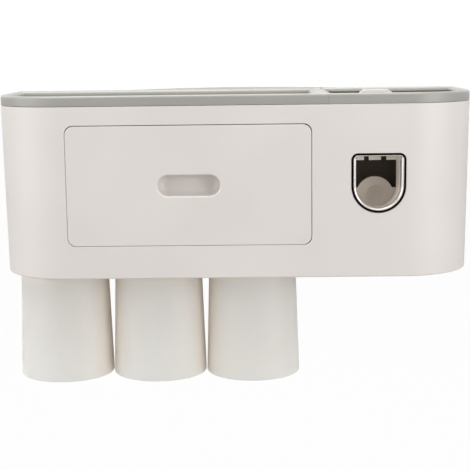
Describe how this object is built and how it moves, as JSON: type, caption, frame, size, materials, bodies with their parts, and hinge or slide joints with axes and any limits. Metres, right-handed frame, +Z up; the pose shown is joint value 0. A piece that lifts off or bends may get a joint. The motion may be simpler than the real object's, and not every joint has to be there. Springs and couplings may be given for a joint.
{
  "type": "toothpaste dispenser",
  "caption": "Wall-mounted toothpaste dispenser with a push-lever squeezer cartridge, a drawer, a lift-out tray and magnetic rinsing cups.",
  "frame": {"origin": "middle of the wall plate's adhesive pad, on the wall's surface", "axes": "+X to the right seen from the front, +Y into the wall, +Z up"},
  "size_m": [0.335, 0.1161, 0.2066],
  "materials": {
    "white_plastic": "warm white, satin gloss",
    "grey_plastic": "light grey, satin",
    "cartridge_plastic": "white, satin",
    "lever_plastic": "warm grey white, satin",
    "dark_plastic": "near black",
    "clear_plastic": "clear moulded plastic and film",
    "black_rubber": "black",
    "bright_trim": "polished",
    "steel": "plain",
    "silicone": "dark, soft",
    "cup_plastic": "milky white, fine satin"
  },
  "bodies": {
    "wall_mount": {"adhesive_pad": "clear_plastic", "wall_plate": "clear_plastic"},
    "casing": {"housing": "white_plastic", "back_cover": "white_plastic", "back_screws": "steel", "well_rim": "grey_plastic", "window_seal": "black_rubber", "window_bezel": "bright_trim", "magnet_left": "steel", "magnet_middle": "steel", "magnet_right": "steel", "magnet_cap_left": "white_plastic", "magnet_cap_middle": "white_plastic", "magnet_cap_right": "white_plastic"},
    "tray": {"storage_tray": "grey_plastic"},
    "drawer": {"drawer_front": "white_plastic", "drawer_box": "white_plastic", "drawer_screws": "steel"},
    "cartridge": {"cartridge_frame": "cartridge_plastic", "cartridge_back": "dark_plastic", "cartridge_screws": "steel", "hinge_pin": "steel", "return_spring": "steel", "pump_sleeve": "silicone", "outlet_valve": "silicone", "inlet_valve": "silicone", "tube_collar": "silicone", "collar_nut": "cartridge_plastic"},
    "lever": {"push_lever": "lever_plastic", "presser_pad": "silicone"},
    "left_cup": {"cup_left": "cup_plastic", "cup_disc_left": "steel", "cup_plug_left": "cup_plastic"},
    "middle_cup": {"cup_middle": "cup_plastic", "cup_disc_middle": "steel", "cup_plug_middle": "cup_plastic"},
    "right_cup": {"cup_right": "cup_plastic", "cup_disc_right": "steel", "cup_plug_right": "cup_plastic"}
  },
  "joints": [
    {"name": "casing_lift", "type": "slide", "parent": "wall_mount", "child": "casing", "axis": [0, 0, 1], "range_m": [0, 0.0094]},
    {"name": "tray_lift", "type": "slide", "parent": "casing", "child": "tray", "axis": [0, 0, 1], "range_m": [0, 0.03]},
    {"name": "drawer_slide", "type": "slide", "parent": "casing", "child": "drawer", "axis": [0, -1, 0], "range_m": [0, 0.084]},
    {"name": "cartridge_lift", "type": "slide", "parent": "casing", "child": "cartridge", "axis": [0, 0, 1], "range_m": [0, 0.1]},
    {"name": "lever_swing", "type": "hinge", "parent": "cartridge", "child": "lever", "pos_m": [0.0985, -0.074, 0.00205], "axis": [1, 0, 0], "range_deg": [0, 14], "stiffness_Nm_per_rad": 0.12, "springref_deg": -8.59, "deforming": ["return_spring", "pump_sleeve"]},
    {"name": "left_cup_drop", "type": "slide", "parent": "casing", "child": "left_cup", "axis": [0, 0, -1], "range_m": [0, 0.04]},
    {"name": "middle_cup_drop", "type": "slide", "parent": "casing", "child": "middle_cup", "axis": [0, 0, -1], "range_m": [0, 0.04]},
    {"name": "right_cup_drop", "type": "slide", "parent": "casing", "child": "right_cup", "axis": [0, 0, -1], "range_m": [0, 0.04]}
  ]
}
